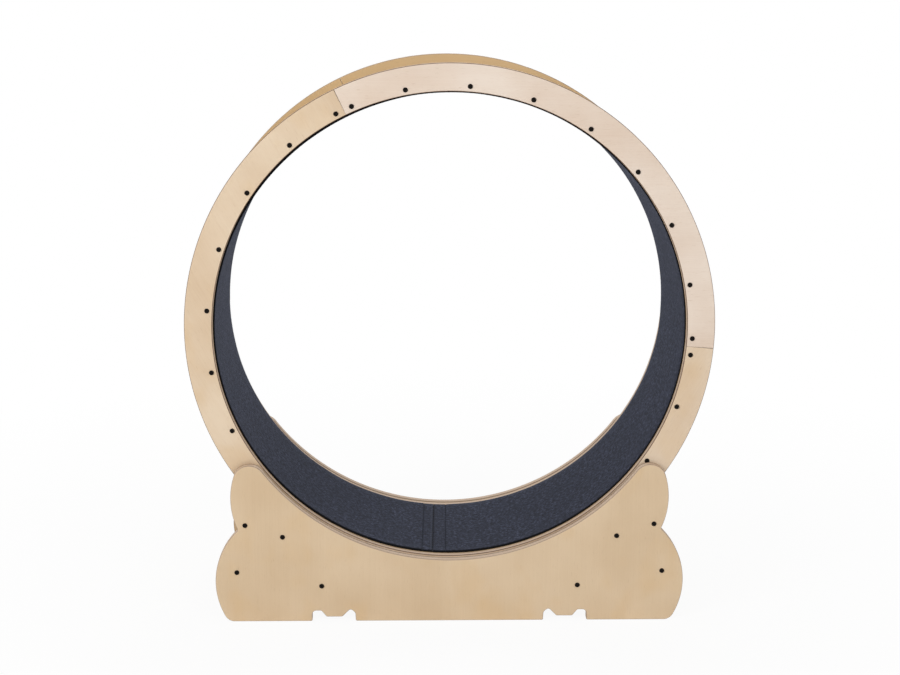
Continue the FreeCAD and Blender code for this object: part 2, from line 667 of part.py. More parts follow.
def roller_tyre(doc, name):
    """Nylon tyre whose groove takes the ring's edge between two flanges."""
    body = new_body(doc, name + "_tyre")
    round_prism(body, "Additive", "tread", "-Layout.groove_half_width",
                "Sizes.roller_tread_radius", "2 * Layout.groove_half_width")
    for flange, lift in (("front_flange", "Layout.groove_half_width"),
                         ("rear_flange", "-Layout.roller_half_width")):
        round_prism(body, "Additive", flange, lift, "Sizes.roller_flange_radius",
                    "Sizes.roller_flange_thickness")
    round_prism(body, "Subtractive", "bore", "-Layout.roller_half_width",
                "Sizes.bearing_outer_radius", "2 * Layout.roller_half_width")
    return body


def outer_race(doc, name):
    """Outer race of the roller's ball bearing, pressed into the tyre."""
    body = new_body(doc, name + "_outer_race")
    round_prism(body, "Additive", "race", "-Sizes.bearing_width / 2",
                "Sizes.bearing_outer_radius", "Sizes.bearing_width")
    round_prism(body, "Subtractive", "bore", "-Sizes.bearing_width / 2",
                "Layout.outer_race_bore_radius", "Sizes.bearing_width")
    return body


def axle_group(doc, label, stages):
    """Pieces on the four axles: prisms at the front right one, mirrored to the others.

    Each stage is a kind, a lift, a radius, a height and a number of sides.
    """
    body = new_body(doc, label)
    for index, (kind, lift, radius, height, sides) in enumerate(stages):
        stage = prism(body, kind, "stage_%d" % (index + 1), "Layout.roller_x",
                      "Layout.roller_z", lift, radius, height, sides=sides)
        mirror(body, stage, ("YZ_Plane", "XZ_Plane"))
    return body


def inner_races(doc):
    start, width = "Layout.inner_race_start", "Sizes.bearing_width"
    return axle_group(doc, "roller_inner_races", (
        ("Additive", start, "Sizes.bearing_split_radius", width, "Sizes.roller_sides"),
        ("Subtractive", start, "Layout.axle_bore_radius", width, "6")))


def axle_spacers(doc):
    start, length = "Layout.inner_race_end", "Layout.spacer_length"
    return axle_group(doc, "roller_axle_spacers", (
        ("Additive", start, "Sizes.spacer_radius", length, "6"),
        ("Subtractive", start, "Layout.axle_bore_radius", length, "6")))


def axle_nuts(doc):
    start, height = "Layout.nut_start", "Sizes.nut_height"
    return axle_group(doc, "roller_axle_nuts", (
        ("Additive", start, "Layout.nut_corner_radius", height, "6"),
        ("Subtractive", start, "Layout.axle_bore_radius", height, "6")))


def axle_bolts(doc):
    return axle_group(doc, "roller_axle_bolts", (
        ("Additive", "Layout.axle_tip", "Layout.axle_radius", "Layout.axle_length", "6"),
        ("Additive", "Layout.base_outside", "Layout.screw_head_radius",
         "Sizes.screw_head_height", "6")))


def make_rollers(doc):
    bodies = []
    for end, end_sign in (("front", "-"), ("rear", "")):
        for side, side_sign in (("left", "-"), ("right", "")):
            name = "roller_%s_%s" % (end, side)
            for body in (roller_tyre(doc, name), outer_race(doc, name)):
                place(body, x=side_sign + "Layout.roller_x", y=end_sign + "Layout.roller_y",
                      z="Layout.roller_z")
                bodies.append(body)
    bodies.extend((inner_races(doc), axle_spacers(doc), axle_nuts(doc), axle_bolts(doc)))
    return bodies


# ------------------------------------------------------------------ output

def check(doc, bodies):
    """Stop if any object of the document failed, or a body has no sound shape."""
    for item in doc.Objects:
        if "Invalid" in item.State or "Error" in item.State:
            raise ValueError("%s (%s) failed: %s" % (item.Name, item.Label, item.State))
    for body in bodies:
        if body.Shape.isNull() or not body.Shape.isValid() or not body.Shape.Solids:
            raise ValueError("%s has no sound shape" % body.Label)


def write(bodies):
    os.makedirs("parts", exist_ok=True)
    for body in bodies:
        body.Shape.exportStep(os.path.join("parts", body.Label + ".step"))
        print("%-28s %3d solids %12.1f mm3" % (body.Label, len(body.Shape.Solids),
                                               body.Shape.Volume))


def main():
    doc = FreeCAD.newDocument("exercise_wheel")
    make_sheet(doc)
    make_layout(doc)
    bodies = make_wheel(doc) + make_base(doc) + make_rollers(doc)
    doc.recompute()
    check(doc, bodies)
    write(bodies)


main()
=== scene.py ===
# %% [markdown]
# A PET'S EXERCISE WHEEL, MADE PIECE BY PIECE
#
# The real wheel is cut from birch plywood: two rings, each butted from three
# segments, with slats screwed between them. A thin bent plywood track lies on
# the slats and a felt carpet on the track. The wheel stands on four grooved
# rollers between two plywood panels.
#
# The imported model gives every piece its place. This lesson gives each piece
# its finer shape and its finish: round-overs, plies, felt, screws and bearings.

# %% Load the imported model
import math

import bmesh
import bpy
import numpy as np
from mathutils import Matrix, Vector


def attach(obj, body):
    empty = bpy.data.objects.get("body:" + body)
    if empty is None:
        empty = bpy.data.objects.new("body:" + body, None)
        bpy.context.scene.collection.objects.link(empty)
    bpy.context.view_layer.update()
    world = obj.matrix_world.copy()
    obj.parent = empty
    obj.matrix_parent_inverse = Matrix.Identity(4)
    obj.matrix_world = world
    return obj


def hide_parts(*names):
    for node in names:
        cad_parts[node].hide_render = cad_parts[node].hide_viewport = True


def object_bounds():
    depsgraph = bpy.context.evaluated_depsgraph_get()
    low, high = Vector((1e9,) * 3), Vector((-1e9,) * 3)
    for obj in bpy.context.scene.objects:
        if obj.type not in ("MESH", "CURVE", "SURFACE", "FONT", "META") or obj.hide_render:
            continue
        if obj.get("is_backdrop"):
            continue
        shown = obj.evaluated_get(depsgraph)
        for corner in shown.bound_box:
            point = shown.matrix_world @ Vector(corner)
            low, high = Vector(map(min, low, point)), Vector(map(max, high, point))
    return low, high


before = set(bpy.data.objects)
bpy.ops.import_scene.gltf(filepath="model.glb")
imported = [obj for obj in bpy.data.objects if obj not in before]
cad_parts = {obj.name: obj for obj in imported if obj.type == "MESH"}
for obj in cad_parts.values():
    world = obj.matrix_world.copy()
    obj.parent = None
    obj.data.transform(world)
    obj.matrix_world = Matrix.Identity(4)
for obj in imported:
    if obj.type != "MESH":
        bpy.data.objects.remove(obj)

CAD_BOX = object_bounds()

# %% [markdown]
# The sizes are metres. Front is -Y, and the wheel turns about a line along Y
# that passes through AXLE. Angles round the wheel run counterclockwise from +X
# as the front shows them.

# %% Sizes that several pieces share
MM = 0.001
AXLE = Vector((0, 0, 662 * MM))
RING_INNER, RING_OUTER = 519 * MM, 580 * MM
RING_INSIDE, RING_FACE = 157.5 * MM, 172.5 * MM
PANEL_INSIDE, PANEL_FACE = 178.5 * MM, 196.5 * MM
JOINTS = [math.radians(115.5 + 120 * i) for i in range(3)]
SEGMENT = math.radians(120)
SLAT_PITCH = math.radians(15)
SLAT_CIRCLE = 531 * MM
ROLLER_X, ROLLER_Y, ROLLER_Z = 370.085 * MM, 165 * MM, 196.739 * MM
SIDES = {"front": -1, "rear": 1}
HANDS = {"left": -1, "right": 1}
print("the wheel is", round(2 * RING_OUTER, 3), "m across")

# %% [markdown]
# The camera comes first. Its place, tilt and lens were solved from the rings'
# edges and the 27 screws of the front ring, whose places are known. The shift
# stands for the crop of the photograph.

# %% Camera
LENS_PIXELS, IMAGE_WIDTH, IMAGE_HEIGHT = 1547.65, 900, 675
PRINCIPAL = (419.74, 209.03)
CAMERA_PLACE = (-106.4 * MM, -3466.5 * MM, 1451.1 * MM)
CAMERA_DIP, CAMERA_HEADING = 0.1577, -0.0122
camera_data = bpy.data.cameras.new("camera")
camera_data.sensor_width = 36
camera_data.lens = camera_data.sensor_width * LENS_PIXELS / IMAGE_WIDTH
camera_data.shift_x = (IMAGE_WIDTH / 2 - PRINCIPAL[0]) / IMAGE_WIDTH
camera_data.shift_y = (PRINCIPAL[1] - IMAGE_HEIGHT / 2) / IMAGE_WIDTH
camera = bpy.data.objects.new("camera", camera_data)
camera.location = CAMERA_PLACE
camera.rotation_euler = (math.pi / 2 - CAMERA_DIP, 0, CAMERA_HEADING)
bpy.context.scene.collection.objects.link(camera)
bpy.context.scene.camera = camera
print("lens", round(camera_data.lens, 1), "mm")

# %% [markdown]
# Node trees for materials and for Geometry Nodes are written with the same two
# small classes. A Value is one output socket, and arithmetic on it adds Math
# nodes, so a formula in the tree reads like a formula in Python.

# %% A socket with arithmetic, and a tree that makes nodes
class Value:
    def __init__(self, tree, socket):
        self.tree, self.socket = tree, socket

    def out(self, name):
        """Another output of the same node."""
        return Value(self.tree, self.socket.node.outputs[name])

    def math(self, operation, *others):
        return self.tree.math(operation, self, *others)

    def __add__(self, other):
        return self.math("ADD", other)

    def __sub__(self, other):
        return self.math("SUBTRACT", other)

    def __rsub__(self, other):
        return self.tree.math("SUBTRACT", other, self)

    def __mul__(self, other):
        return self.math("MULTIPLY", other)

    def __truediv__(self, other):
        return self.math("DIVIDE", other)

    def __gt__(self, other):
        return self.math("GREATER_THAN", other)

    def __abs__(self):
        return self.math("ABSOLUTE")

    __radd__, __rmul__ = __add__, __mul__


class Tree:
    def __init__(self, node_tree):
        self.node_tree = node_tree

    def node(self, kind, settings=None, inputs=None, output=0):
        """A node with its settings first, then its inputs: values or links."""
        made = self.node_tree.nodes.new(kind)
        for name, value in (settings or {}).items():
            if name == "stops":
                for stop, (place, colour) in zip(ramp_stops(made, len(value)), value):
                    stop.position, stop.color = place, colour
            else:
                setattr(made, name, value)
        for key, value in (inputs or {}).items():
            self.feed(made.inputs[key], value)
        return Value(self, made.outputs[output])

    def feed(self, socket, value):
        if isinstance(value, Value):
            self.node_tree.links.new(value.socket, socket)
        else:
            socket.default_value = value

    def math(self, operation, *values):
        return self.node("ShaderNodeMath", {"operation": operation},
                         dict(enumerate(values)))

    def vector(self, operation, *values, output=0):
        return self.node("ShaderNodeVectorMath", {"operation": operation},
                         dict(enumerate(values)), output)


def ramp_stops(node, count):
    stops = node.color_ramp.elements
    while len(stops) < count:
        stops.new(0.5)
    return stops


# %% [markdown]
# A finish is a material with a few words added: noise, a colour mix and the
# bump. Colours are written as the photograph's 0 to 255 numbers.

# %% A material with helpers
def rgb(red, green, blue):
    """A colour of 0 to 255 numbers as the linear colour that shaders use."""
    def linear(part):
        part /= 255
        return part / 12.92 if part <= 0.04045 else ((part + 0.055) / 1.055) ** 2.4
    return (linear(red), linear(green), linear(blue), 1)


class Finish(Tree):
    def __init__(self, name, **plain):
        self.material = bpy.data.materials.new(name)
        self.material.use_nodes = True
        super().__init__(self.material.node_tree)
        self.shader = self.node_tree.nodes["Principled BSDF"]
        for socket, value in plain.items():
            self.shader.inputs[socket.replace("_", " ")].default_value = value

    def place(self):
        return self.node("ShaderNodeTexCoord", output="Object")

    def attribute(self, name):
        return self.node("ShaderNodeAttribute", {"attribute_name": name}, output="Fac")

    def scaled(self, where, *factors):
        return self.vector("MULTIPLY", where, factors)

    def noise(self, where, scale=1, detail=3, roughness=0.5, distortion=0):
        return self.node("ShaderNodeTexNoise", {}, {
            "Vector": where, "Scale": scale, "Detail": detail, "Roughness": roughness,
            "Distortion": distortion})

    def ramp(self, value, *stops):
        """Numbers between 0 and 1 redrawn as a curve through (place, grey) stops."""
        greys = [(place, (grey, grey, grey, 1)) for place, grey in stops]
        return self.node("ShaderNodeValToRGB", {"stops": greys}, {0: value})

    def mix(self, factor, first, second):
        return self.node("ShaderNodeMix", {"data_type": "RGBA"},
                         {0: factor, 6: first, 7: second}, output=2)

    def bump(self, height, strength, distance):
        self.feed(self.shader.inputs["Normal"], self.node("ShaderNodeBump", {}, {
            "Strength": strength, "Distance": distance, "Height": height}))

    def colour(self, value):
        self.feed(self.shader.inputs["Base Color"], value)

    def roughness(self, value):
        self.feed(self.shader.inputs["Roughness"], value)


# %% [markdown]
# Birch plywood shows two things. Its faces are one sheet of pale veneer, with
# faint streaks, soft warm clouds and short dark pores. Its edges show the
# plies, light where they run along the edge and darker where they end in it.
# The place through the sheet's thickness tells plies apart, and how far the
# surface faces out of the sheet tells a face from an edge. An edge is darker
# brown where it rounds over into a face, and painted shade darkens it beside
# the gap between a panel and a ring. The inner faces take a darker, warmer tan,
# partly a back veneer of another tone and partly painted shade.

# %% Plywood
PLY = 1.36 * MM
SHEET_WAY = (0, 1, 0)
PORE, WARM = rgb(182, 150, 114), rgb(216, 182, 134)
PINK_LOW, PINK_HIGH = rgb(221, 199, 180), rgb(236, 221, 207)
END_PLY, LONG_PLY = rgb(204, 176, 150), rgb(232, 210, 186)
GLUE, ROUGH_PLY = rgb(130, 98, 72), rgb(176, 146, 120)
# First a painted shade for the edge beside the panel and ring gap, then a round-over's
# brown.
GAP_SHADE, ROUTED = rgb(96, 62, 38), rgb(120, 92, 68)


def veneer(finish, where, low, high, warmth):
    """Birch face veneer whose grain runs along Z, so each noise is long that way."""
    fine = finish.noise(finish.scaled(where, 420, 420, 7), detail=4, roughness=0.6)
    broad = finish.noise(finish.scaled(where, 9, 9, 3.5), detail=3, distortion=0.8)
    cloud = finish.noise(finish.scaled(where, 6, 6, 6), detail=2)
    pores = finish.noise(finish.scaled(where, 900, 900, 60), detail=1)
    tone = finish.ramp(0.18 * fine + 0.25 * broad + 0.57 * cloud, (0.34, 0), (0.66, 1))
    face = finish.mix(tone, low, high)
    warm = finish.noise(finish.scaled(where, 13, 13, 9), detail=2)
    warm = warmth * finish.ramp(warm, (0.52, 0), (0.76, 1))
    specks = finish.ramp(pores, (0.66, 0), (0.76, 0.3))
    return finish.mix(specks, finish.mix(warm, face, WARM), PORE), fine


def plywood(name, start, thickness, low, high, back, gap_shade_stops, grain_turns=False):
    """A front and a rear sheet whose plies are stacked along Y, from the depth start.

    The stops for the gap place a painted shade beside the gap, through the thickness.
    """
    finish = Finish(name, IOR=1.45)
    where = finish.place()
    if grain_turns:
        where = finish.node("ShaderNodeVectorRotate", {"rotation_type": "Y_AXIS"}, {
            "Vector": where, "Center": AXLE, "Angle": finish.attribute("grain_turn")})
    y = finish.vector("DOT_PRODUCT", where, SHEET_WAY, output="Value")
    depth = abs(y) - start
    normal = finish.node("ShaderNodeTexCoord", output="Normal")
    facing = abs(finish.vector("DOT_PRODUCT", normal, SHEET_WAY, output="Value"))
    pink = finish.attribute("tone")
    face, fine = veneer(finish, where, finish.mix(pink, low, PINK_LOW),
                        finish.mix(pink, high, PINK_HIGH), 0.45 * (1 - pink))
    # The inner faces: partly a back veneer of another tone, partly painted shade.
    back_high = (*(1.12 * part for part in back[:3]), 1)
    inner_face, _ = veneer(finish, where, back, back_high, 0.3)
    face = finish.mix(depth > thickness / 2, inner_face, face)
    ply = depth / PLY
    band = finish.ramp(finish.math("PINGPONG", ply, 1.0), (0.42, 0), (0.58, 1))
    glue = finish.ramp(finish.math("FRACT", ply), (0.0, 1), (0.07, 0), (0.93, 0), (1.0, 1))
    rough = finish.noise(finish.scaled(where, 260, 30, 260), detail=3)
    # Painted shade on the edge beside the gap between panel and ring, weaker at the rear.
    gap_shade = finish.ramp(depth / thickness, *gap_shade_stops) * (1 - 0.6 * (y > 0))
    routed = finish.ramp(facing, (0.06, 0), (0.3, 0.6), (0.86, 0.45), (0.95, 0))
    edge = finish.mix(band, END_PLY, LONG_PLY)
    for share, stain in ((0.35 * glue, GLUE), (0.3 * rough, ROUGH_PLY), (gap_shade, GAP_SHADE),
                         (routed, ROUTED)):
        edge = finish.mix(share, edge, stain)
    on_face = finish.ramp(facing, (0.90, 0), (0.97, 1))
    finish.colour(finish.mix(on_face, edge, face))
    finish.roughness(0.46 + 0.16 * fine + 0.12 * (1 - on_face))
    finish.bump(fine + 0.5 * band * (1 - on_face), 0.12, 0.0004)
    return finish.material


RING_BIRCH = plywood("ring_birch_plywood", RING_INSIDE, 15 * MM,
                     rgb(213, 186, 154), rgb(229, 208, 181), rgb(209, 180, 136),
                     ((0.76, 0), (0.84, 0.85)), grain_turns=True)
PANEL_BIRCH = plywood("panel_birch_plywood", PANEL_INSIDE, 18 * MM,
                      rgb(211, 184, 149), rgb(224, 200, 168), rgb(206, 178, 140),
                      ((0.2, 0.85), (0.28, 0)))
print("plywood finishes:", RING_BIRCH.name, PANEL_BIRCH.name)

# %% [markdown]
# The slats and rails are plain strips of wood, so their finish is a grain that
# runs along Y. The thin track behind the carpet is bending plywood, whose
# face grain also runs across the wheel.

# %% Strip wood and bending plywood
def strip_wood(name, low, high):
    finish = Finish(name, IOR=1.45)
    where = finish.place()
    y_last = finish.node("ShaderNodeCombineXYZ", {}, {
        slot: finish.node("ShaderNodeSeparateXYZ", {}, {0: where}, output=axis)
        for slot, axis in enumerate("XZY")})
    grain = finish.noise(finish.scaled(y_last, 260, 260, 5), detail=4, distortion=0.4)
    rings = finish.noise(finish.scaled(y_last, 60, 60, 1.6), detail=2, distortion=1.2)
    tone = finish.ramp(0.45 * grain + 0.55 * rings, (0.34, 0), (0.66, 1))
    shade = 0.35 * finish.attribute("tone")
    finish.colour(finish.mix(shade, finish.mix(tone, low, high), low))
    finish.roughness(0.5 + 0.2 * grain)
    finish.bump(grain, 0.15, 0.0004)
    return finish.material


SLAT_WOOD = strip_wood("slat_birch", rgb(198, 165, 122), rgb(228, 201, 162))
TRACK_WOOD = strip_wood("track_bending_plywood", rgb(176, 142, 100), rgb(202, 170, 126))
print("wood finishes:", SLAT_WOOD.name, TRACK_WOOD.name)

# %% [markdown]
# The carpet is a dark needled felt. Felt is a heather of light and dark
# fibres, so several noises at the fibres' own scales mix four slate greys,
# and a little sheen gives the soft pale look at grazing angles. Painted shade
# makes the strip's cut edges and the creases of its seam and hems near-black,
# while pale fibres stand up beside the seam. The mesh says where those are.

# %% Felt
def felt(name):
    finish = Finish(name, Sheen_Weight=0.2, Sheen_Roughness=0.45, Specular_IOR_Level=0.15,
                    Sheen_Tint=rgb(170, 178, 205))
    where = finish.place()
    tuft = finish.noise(where, scale=150, detail=5, roughness=0.75)
    fibre = finish.noise(finish.scaled(where, 1, 1.6, 1), scale=520, detail=3,
                         roughness=0.8)
    patch = finish.noise(where, scale=14, detail=3)
    heather = finish.ramp(0.75 * tuft + 0.25 * fibre, (0.42, 0), (0.6, 1))
    shade = finish.mix(heather, rgb(9, 10, 14), rgb(57, 61, 79))
    shade = finish.mix(finish.ramp(tuft, (0.56, 0), (0.68, 0.7)), shade, rgb(96, 102, 122))
    shade = finish.mix(finish.ramp(patch, (0.4, 0), (0.7, 0.4)), shade, rgb(26, 29, 38))
    fuzz = finish.attribute("fuzz") * finish.ramp(fibre, (0.42, 0), (0.6, 0.6))
    shade = finish.mix(fuzz, shade, rgb(92, 96, 112))
    # Painted shade darkens the creases of the seam and hems near-black.
    shade = finish.mix(finish.attribute("crease"), shade, rgb(6, 7, 10))
    across = finish.node("ShaderNodeSeparateXYZ", {}, {0: where}, output="Y")
    # Painted shade makes the strip's cut edges near-black.
    # From 154.1 to 154.9 mm off the middle, times 6, as a ramp ends at 1.
    cut_edge_shade = finish.ramp(abs(across) * 6, (0.9245, 0), (0.9295, 1))
    finish.colour(finish.mix(cut_edge_shade, shade, rgb(10, 10, 12)))
    finish.roughness(0.86 + 0.1 * fibre)
    finish.bump(0.6 * tuft + 0.4 * fibre, 0.6, 0.0012)
    return finish.material


FELT = felt("slate_felt")
print("carpet finish:", FELT.name)

# %% [markdown]
# The hardware needs five finishes: black oxide on the screws and bolts, pale
# nylon on the roller tyres, bright steel on the bearings, zinc on the nuts and
# washers, and the black of the bearings' seals. Each has a faint unevenness,
# because even new metal isn't one flat colour.

# %% Metal, nylon and rubber
def smooth_finish(name, colour, worn, metal, shine, spread, gloss=0.5):
    """Metal or plastic with a faint fine unevenness in colour and roughness."""
    finish = Finish(name, Metallic=metal, Specular_IOR_Level=gloss)
    speck = finish.noise(finish.place(), scale=900, detail=3)
    finish.colour(finish.mix(finish.ramp(speck, (0.45, 0), (0.75, 1)), colour, worn))
    finish.roughness(shine + spread * speck)
    finish.bump(speck, 0.05, 0.0002)
    return finish.material


BLACK_OXIDE = smooth_finish("black_oxide", rgb(10, 7, 5), rgb(26, 19, 14), 0.0, 0.5, 0.2,
                            gloss=0.12)
STEEL = smooth_finish("bright_steel", rgb(176, 178, 182), rgb(150, 151, 154), 1, 0.2, 0.2)
ZINC = smooth_finish("zinc_plate", rgb(190, 190, 186), rgb(160, 158, 148), 0.9, 0.3, 0.2)
NYLON = smooth_finish("pale_nylon", rgb(226, 224, 216), rgb(206, 203, 192), 0, 0.4, 0.15)
SEAL = smooth_finish("bearing_seal", rgb(24, 25, 27), rgb(38, 38, 40), 0, 0.5, 0.2)
print("hardware finishes:", len((BLACK_OXIDE, STEEL, ZINC, NYLON, SEAL)))

# %% [markdown]
# Every finished piece gets the same lines: its materials, the body that it
# turns or stands with, and the imported nodes that it stands for. Weighted
# normals keep flat faces flat beside small round-overs.

# %% Finish a piece
def link(name, mesh):
    piece = bpy.data.objects.new(name, mesh)
    bpy.context.scene.collection.objects.link(piece)
    return piece


def applied(piece):
    """Turn what a piece's modifiers show into its own plain mesh."""
    bpy.context.view_layer.update()
    shown = piece.evaluated_get(bpy.context.evaluated_depsgraph_get())
    mesh = bpy.data.meshes.new_from_object(shown)
    piece.modifiers.clear()
    piece.data = mesh
    mesh.name = piece.name
    return piece


def smooth(piece, angle=40):
    """Round surfaces shade smoothly, and flat faces stay flat up to their edge."""
    piece.data.shade_smooth()
    piece.data.set_sharp_from_angle(angle=math.radians(angle))
    weigh = piece.modifiers.new("weigh", "WEIGHTED_NORMAL")
    weigh.keep_sharp = True
    return applied(piece)


def settle(piece, body, slot, nodes, *finishes):
    """Give a piece its finishes, if it has none yet, and its place in the model."""
    if finishes:
        piece.data.materials.clear()
        for finish in finishes:
            piece.data.materials.append(finish)
    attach(piece, body)
    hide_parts(*nodes)
    triangles = sum(len(face.vertices) - 2 for face in piece.data.polygons)
    print(piece.name, "rides on", body, "with", triangles, "triangles")
    return piece


# %% [markdown]
# Geometry Nodes trees are written with the same classes. A Grower makes the
# tree's named inputs, and its grow method runs the tree once and keeps the
# plain mesh, so no modifier stays behind.

# %% Geometry Nodes trees with named inputs
KINDS = {float: "NodeSocketFloat", int: "NodeSocketInt", "object": "NodeSocketObject",
         "material": "NodeSocketMaterial"}


class Grower(Tree):
    def __init__(self, name, **inputs):
        super().__init__(bpy.data.node_groups.new(name, "GeometryNodeTree"))
        self.interface = self.node_tree.interface
        self.interface.new_socket("Geometry", in_out="INPUT",
                                  socket_type="NodeSocketGeometry")
        for key, kind in inputs.items():
            self.interface.new_socket(key, in_out="INPUT", socket_type=KINDS[kind])
        self.interface.new_socket("Geometry", in_out="OUTPUT",
                                  socket_type="NodeSocketGeometry")
        self.given = self.node_tree.nodes.new("NodeGroupInput")

    def __getitem__(self, name):
        return Value(self, self.given.outputs[name])

    def end(self, geometry):
        """Realize what was instanced, give it its material, and hand it out."""
        real = self.node("GeometryNodeRealizeInstances", {}, {0: geometry})
        done = self.node("GeometryNodeSetMaterial", {}, {
            "Geometry": real, "Material": self["material"]})
        output = self.node_tree.nodes.new("NodeGroupOutput")
        self.feed(output.inputs[0], done)

    def grow(self, name, base=None, **values):
        piece = link(name, base or bpy.data.meshes.new(name))
        modifier = piece.modifiers.new("grow", "NODES")
        modifier.node_group = self.node_tree
        for socket in self.interface.items_tree:
            if socket.name in values:
                modifier[socket.identifier] = values[socket.name]
        return applied(piece)


# %% [markdown]
# RING SEGMENTS AND TRACK PANELS
#
# A ring segment is a flat band cut to an arc, with its edges rounded over by a
# router. As a rule: a rounded rectangle swept along an arc. The same tree makes
# the thin track panels, because they are also a rectangle on an arc. It keeps
# the segment's turn in an attribute, so that the grain turns with the segment,
# as it does when three segments are cut from one sheet.

# %% The tree for a band on an arc
band_tree = Grower("band_on_an_arc", radius=float, across=float, thickness=float,
                   rounding=float, start=float, sweep=float, steps=int, y=float,
                   grain_turn=float, tone=float, material="material")
path = band_tree.node("GeometryNodeCurveArc", {}, {
    "Resolution": band_tree["steps"], "Radius": band_tree["radius"],
    "Start Angle": band_tree["start"], "Sweep Angle": band_tree["sweep"]})
section = band_tree.node("GeometryNodeCurvePrimitiveQuadrilateral", {}, {
    "Width": band_tree["across"], "Height": band_tree["thickness"]})
section = band_tree.node("GeometryNodeFilletCurve", {"mode": "POLY"}, {
    "Curve": section, "Radius": band_tree["rounding"], "Count": 4})
band = band_tree.node("GeometryNodeCurveToMesh", {}, {
    "Curve": path, "Profile Curve": section, "Fill Caps": True})
band = band_tree.node("GeometryNodeTransform", {}, {
    "Geometry": band, "Rotation": (math.pi / 2, 0, 0),
    "Translation": band_tree.node("ShaderNodeCombineXYZ", {}, {
        1: band_tree["y"], 2: AXLE.z})})
for attribute in ("grain_turn", "tone"):
    band = band_tree.node("GeometryNodeStoreNamedAttribute", {"data_type": "FLOAT"}, {
        "Geometry": band, "Name": attribute, "Value": band_tree[attribute]})
band_tree.end(band)
print("tree:", band_tree.node_tree.name, len(band_tree.node_tree.nodes), "nodes")

# %% Six ring segments
JOINT_GAP = 0.8 * MM
RING_MIDDLE = (RING_INNER + RING_OUTER) / 2
GRAIN_LEAN = math.radians(34.5)
RING_TONES = (0.0, 0.15, 0.9)
for side, sign in SIDES.items():
    for number, (joint, tone) in enumerate(zip(JOINTS, RING_TONES), start=1):
        name = f"{side}_ring_segment_{number}"
        piece = band_tree.grow(
            name + "_rounded", radius=RING_MIDDLE, across=RING_OUTER - RING_INNER,
            thickness=RING_FACE - RING_INSIDE, rounding=2 * MM,
            start=joint + JOINT_GAP / 2 / RING_MIDDLE,
            sweep=SEGMENT - JOINT_GAP / RING_MIDDLE, steps=160,
            y=sign * (RING_FACE + RING_INSIDE) / 2,
            grain_turn=joint + SEGMENT / 2 + GRAIN_LEAN, tone=tone, material=RING_BIRCH)
        settle(smooth(piece), "wheel", "birch_plywood", [name])

# %% Three track panels
TRACK_OUTER = 522 * MM
for number, joint in enumerate(JOINTS, start=1):
    name = f"track_panel_{number}"
    piece = band_tree.grow(
        name + "_bent", radius=(RING_INNER + TRACK_OUTER) / 2,
        across=TRACK_OUTER - RING_INNER, thickness=2 * RING_INSIDE, rounding=0.4 * MM,
        start=joint + JOINT_GAP / 2 / TRACK_OUTER, sweep=SEGMENT - JOINT_GAP / TRACK_OUTER,
        steps=120, y=0.0, grain_turn=0.0, tone=0.3 * number, material=TRACK_WOOD)
    settle(smooth(piece), "wheel", "track_plywood", [name])

# %% [markdown]
# SLATS AND SCREWS ROUND THE WHEEL
#
# The slats and the screws follow one rule: in each third of the ring they
# stand at even steps from the butt joint, and the screws at its two ends move
# 2 degrees in from the joint. One tree places copies of any part by it.

# %% The tree for parts round the wheel
around = Grower("round_the_wheel", each_third=int, first=int, low=float, high=float,
                radius=float, y=float, turn=float, roll=float, part="object",
                material="material")
index = around.node("GeometryNodeInputIndex")
third = around.math("FLOOR", index / around["each_third"])
step = index - third * around["each_third"] + around["first"]
along = around.math("MINIMUM", around.math("MAXIMUM", step * SLAT_PITCH, around["low"]),
                    around["high"])
angle = third * SEGMENT + along + JOINTS[0]
spot = around.node("ShaderNodeCombineXYZ", {}, {
    0: around.math("COSINE", angle) * around["radius"], 1: around["y"],
    2: around.math("SINE", angle) * around["radius"] + AXLE.z})
chance = around.node("FunctionNodeRandomValue", {"data_type": "FLOAT"}, {
    "ID": index, "Seed": 7}, output=1)
points = around.node("GeometryNodePoints", {}, {
    "Count": around["each_third"] * 3, "Position": spot})
copies = around.node("GeometryNodeInstanceOnPoints", {}, {
    "Points": points,
    "Instance": around.node("GeometryNodeObjectInfo", {}, {"Object": around["part"]},
                            output="Geometry"),
    "Rotation": around.node("ShaderNodeCombineXYZ", {}, {
        1: around["roll"] * chance - angle, 2: around["turn"]})})
copies = around.node("GeometryNodeStoreNamedAttribute", {
    "data_type": "FLOAT", "domain": "INSTANCE"}, {
    "Geometry": copies, "Name": "tone", "Value": chance})
around.end(copies)
print("tree:", around.node_tree.name, len(around.node_tree.nodes), "nodes")


# %% A board with eased edges, and the slats
def board(name, size, ease):
    """A block of the given size about the origin, its edges eased by a bevel."""
    half = [part / 2 for part in size]
    corners = [(x, y, z) for x in (-half[0], half[0]) for y in (-half[1], half[1])
               for z in (-half[2], half[2])]
    faces = [(0, 1, 3, 2), (4, 6, 7, 5), (0, 4, 5, 1), (2, 3, 7, 6), (0, 2, 6, 4),
             (1, 5, 7, 3)]
    mesh = bpy.data.meshes.new(name)
    mesh.from_pydata(corners, [], faces)
    piece = link(name, mesh)
    bevel = piece.modifiers.new("ease", "BEVEL")
    bevel.width, bevel.segments = ease, 3
    return applied(piece)


